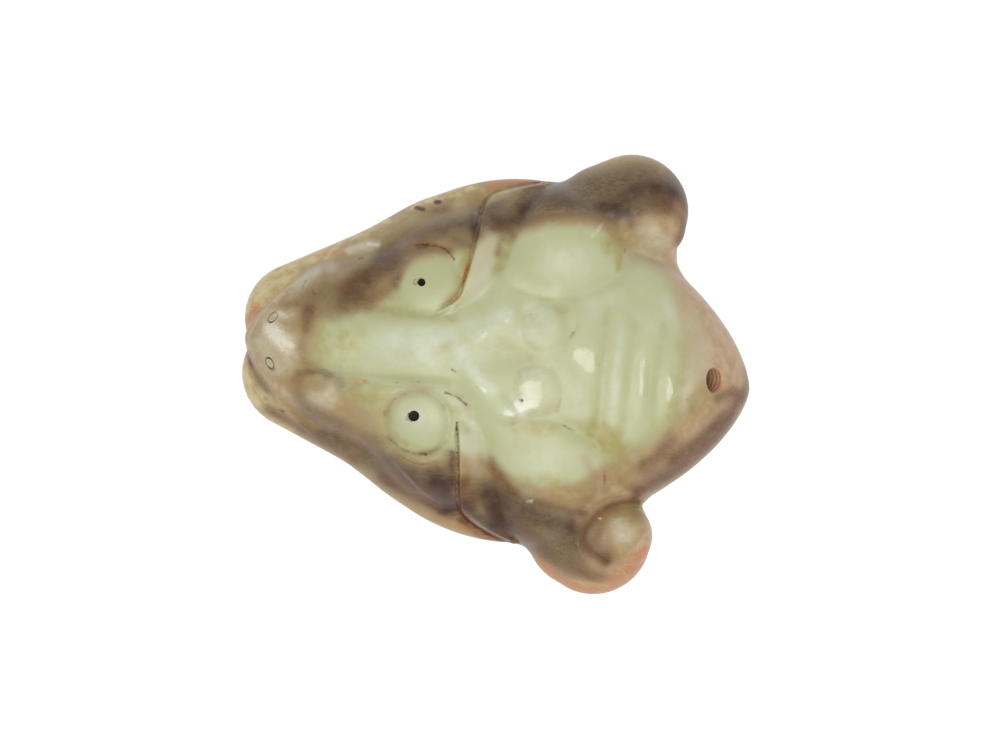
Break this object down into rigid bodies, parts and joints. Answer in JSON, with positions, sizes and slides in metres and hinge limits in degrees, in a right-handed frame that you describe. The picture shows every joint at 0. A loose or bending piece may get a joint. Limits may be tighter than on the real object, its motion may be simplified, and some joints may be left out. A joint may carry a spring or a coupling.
{
  "type": "jade beast mask carving",
  "caption": "Rounded beast-face mask carved from one pebble of jade, with drilled pupils, curled ears, a ribbed crest and a cord hole, lying on its flat back.",
  "frame": {"origin": "on the flat back, under the middle of the outline", "axes": "+X along the middle of the face from the snout to the crest, +Y towards the upper ear of the picture, +Z out of the face"},
  "size_m": [0.1018, 0.0882, 0.0349],
  "materials": {
    "jade": "polished pale green jade with brown and smoky grey skin on the outer slopes"
  },
  "bodies": {
    "root": {"beast_mask": "jade"}
  },
  "joints": []
}
